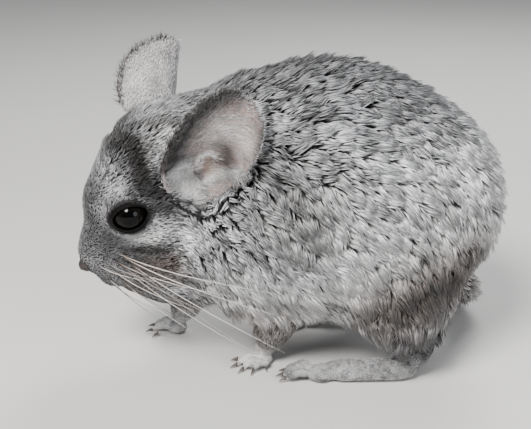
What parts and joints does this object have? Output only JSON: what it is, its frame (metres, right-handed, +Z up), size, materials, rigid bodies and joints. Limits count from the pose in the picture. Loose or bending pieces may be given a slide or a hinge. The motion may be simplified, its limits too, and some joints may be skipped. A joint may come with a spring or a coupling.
{
  "type": "chinchilla",
  "caption": "Still life-size grey chinchilla crouched on all fours, head lowered and turned a little, ears up, tail laid along its right side.",
  "frame": {"origin": "on the floor under the middle of the animal's bounding box", "axes": "+Z up, nose towards -X, the animal's own left side towards -Y, rump towards +X"},
  "size_m": [0.1928, 0.1368, 0.1435],
  "materials": {
    "coat": "dense grey plush fur with pale bands and dark tips",
    "ear_skin": "thin grey brown skin with a sparse fine down",
    "eye": "wet black gloss",
    "paw": "very short pale grey fur with dark claws",
    "tail_coat": "coarse dark bristly fur"
  },
  "bodies": {
    "root": {"torso": "coat", "neck": "coat", "head": "coat", "ear_left": "ear_skin", "ear_right": "ear_skin", "eye_left": "eye", "eye_right": "eye", "thigh_left": "coat", "thigh_right": "coat", "hind_foot_left": "paw", "hind_foot_right": "paw", "foreleg_left": "coat", "foreleg_right": "coat", "forepaw_left": "paw", "forepaw_right": "paw", "tail_root": "coat", "tail_middle": "tail_coat", "tail_tip": "tail_coat"}
  },
  "joints": []
}
